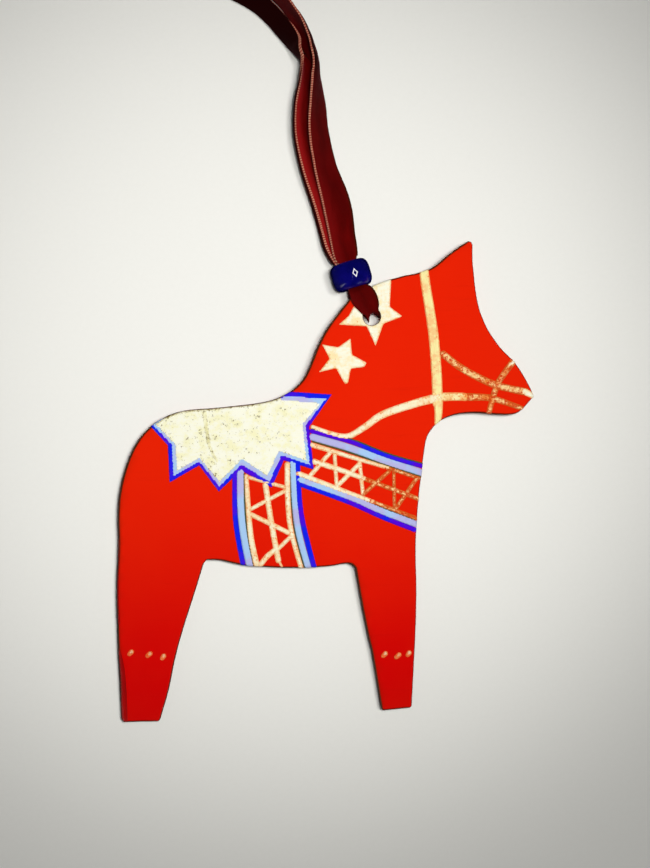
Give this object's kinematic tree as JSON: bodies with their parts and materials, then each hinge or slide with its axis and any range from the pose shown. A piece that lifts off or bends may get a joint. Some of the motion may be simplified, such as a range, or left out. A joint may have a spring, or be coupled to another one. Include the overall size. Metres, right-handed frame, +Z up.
{
  "type": "dala horse ornament",
  "caption": "Flat wooden dala horse ornament, painted with a saddle, bands and stars, on a doubled velvet ribbon that runs through a hole in the neck and a glossy bead.",
  "frame": {"origin": "bottom centre of the horse's box as it lies on its back face, on the surface that it lies on", "axes": "+Z up out of the painted face's side, +Y from the feet to the ear, +X the way the horse looks"},
  "size_m": [0.1185, 0.194, 0.0095],
  "materials": {
    "painted_wood": "satin hand-brushed paint",
    "gold_paint": "pale gold paint with flecks and fine cracks",
    "blue_paint": "satin hand-brushed paint",
    "light_blue_paint": "satin hand-brushed paint",
    "ribbon": "velvet pile with a stitched selvage",
    "bead": "glossy, with a small painted motif"
  },
  "bodies": {
    "horse": {"horse_board": "painted_wood"},
    "ribbon": {"ribbon_loop": "ribbon", "ribbon_front_strand": "ribbon", "ribbon_back_strand": "ribbon", "ribbon_knot": "ribbon", "ribbon_tails": "ribbon"},
    "bead": {"bead": "bead"}
  },
  "joints": [
    {"name": "ribbon_swing", "type": "hinge", "parent": "horse", "child": "ribbon", "pos_m": [0.0112, 0.0395, 0.0046], "axis": [0, 0, 1], "range_deg": [-6, 22]},
    {"name": "bead_slide", "type": "slide", "parent": "ribbon", "child": "bead", "axis": [-0.2924, 0.9563, 0], "range_m": [0, 0.025], "deforming": ["ribbon_front_strand", "ribbon_back_strand"]}
  ]
}
